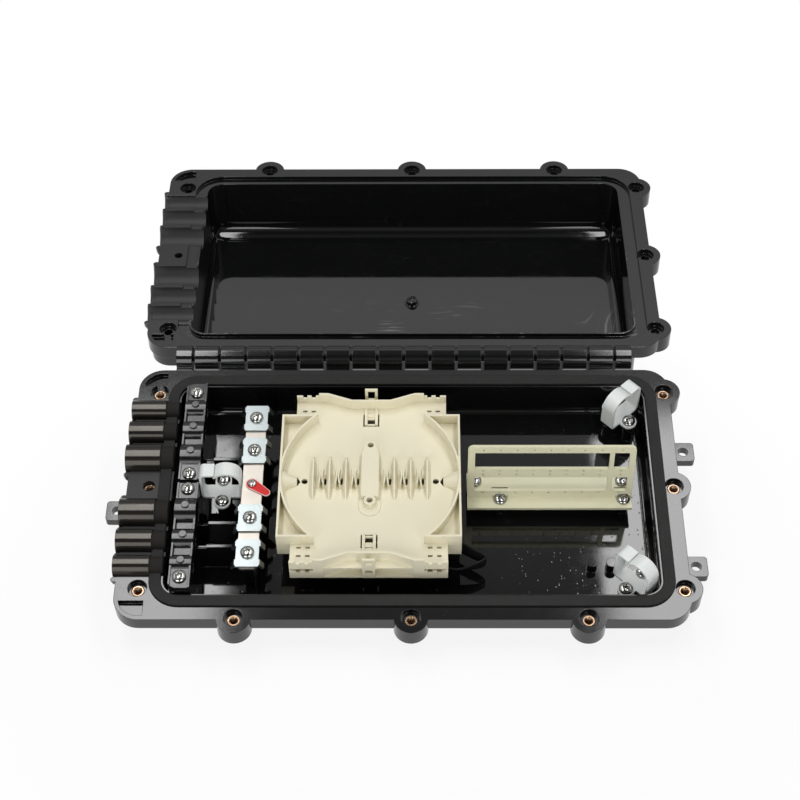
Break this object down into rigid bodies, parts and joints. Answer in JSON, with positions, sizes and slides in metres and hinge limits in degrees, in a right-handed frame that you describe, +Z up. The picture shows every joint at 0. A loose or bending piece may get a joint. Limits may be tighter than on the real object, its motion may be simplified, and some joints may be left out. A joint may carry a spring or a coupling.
{
  "type": "fibre splice closure",
  "caption": "Hinged black closure lying open, with plugged cable ports, cable clamps, earth bar, stacked splice trays and an adapter panel for joining optical fibres.",
  "frame": {"origin": "on the underside of the base, below the middle of the bolt pattern", "axes": "+X along the hinge away from the cable ports, +Y from the front bosses to the hinge, +Z up out of the open base"},
  "size_m": [0.4432, 0.4882, 0.1144],
  "materials": {
    "shell_black": "glossy moulded cavities, satin flanges",
    "pin_steel": "drawn rod",
    "gasket_rubber": "matte",
    "insert_brass": "turned",
    "plug_brown": "satin",
    "clamp_black": "satin",
    "screw_steel": "bright plated",
    "bar_plate": "satin",
    "clamp_zinc": "zinc plated",
    "tag_red": "painted",
    "clip_grey": "satin",
    "tray_ivory": "satin",
    "strap_black": "woven",
    "panel_beige": "satin"
  },
  "bodies": {
    "base": {"base_shell": "shell_black", "hinge_pin": "pin_steel", "sealing_gasket": "gasket_rubber", "threaded_inserts": "insert_brass", "port_plug_1": "plug_brown", "port_plug_2": "plug_brown", "port_plug_3": "plug_brown", "port_plug_4": "plug_brown", "port_plug_5": "plug_brown", "port_plug_6": "plug_brown", "cable_clamp_rear": "clamp_black", "cable_clamp_front": "clamp_black", "clamp_bar_screws": "screw_steel", "earth_bar": "bar_plate", "strength_clamp_1": "clamp_zinc", "strength_clamp_2": "clamp_zinc", "strength_clamp_3": "clamp_zinc", "strength_clamp_4": "clamp_zinc", "strength_clamp_screws": "screw_steel", "earth_tag": "tag_red", "earth_tag_screw": "screw_steel", "fibre_clip_left": "clip_grey", "fibre_clip_rear": "clip_grey", "fibre_clip_front": "clip_grey", "clip_screws": "screw_steel", "lower_tray": "tray_ivory", "upper_tray": "tray_ivory", "tray_strap": "strap_black", "adapter_panel": "panel_beige", "panel_screws": "screw_steel"},
    "lid": {"lid_shell": "shell_black"}
  },
  "joints": [
    {"name": "lid_hinge", "type": "hinge", "parent": "base", "child": "lid", "pos_m": [-0.006, 0.1211, 0.035], "axis": [1, 0, 0], "range_deg": [0, 186.1]}
  ]
}
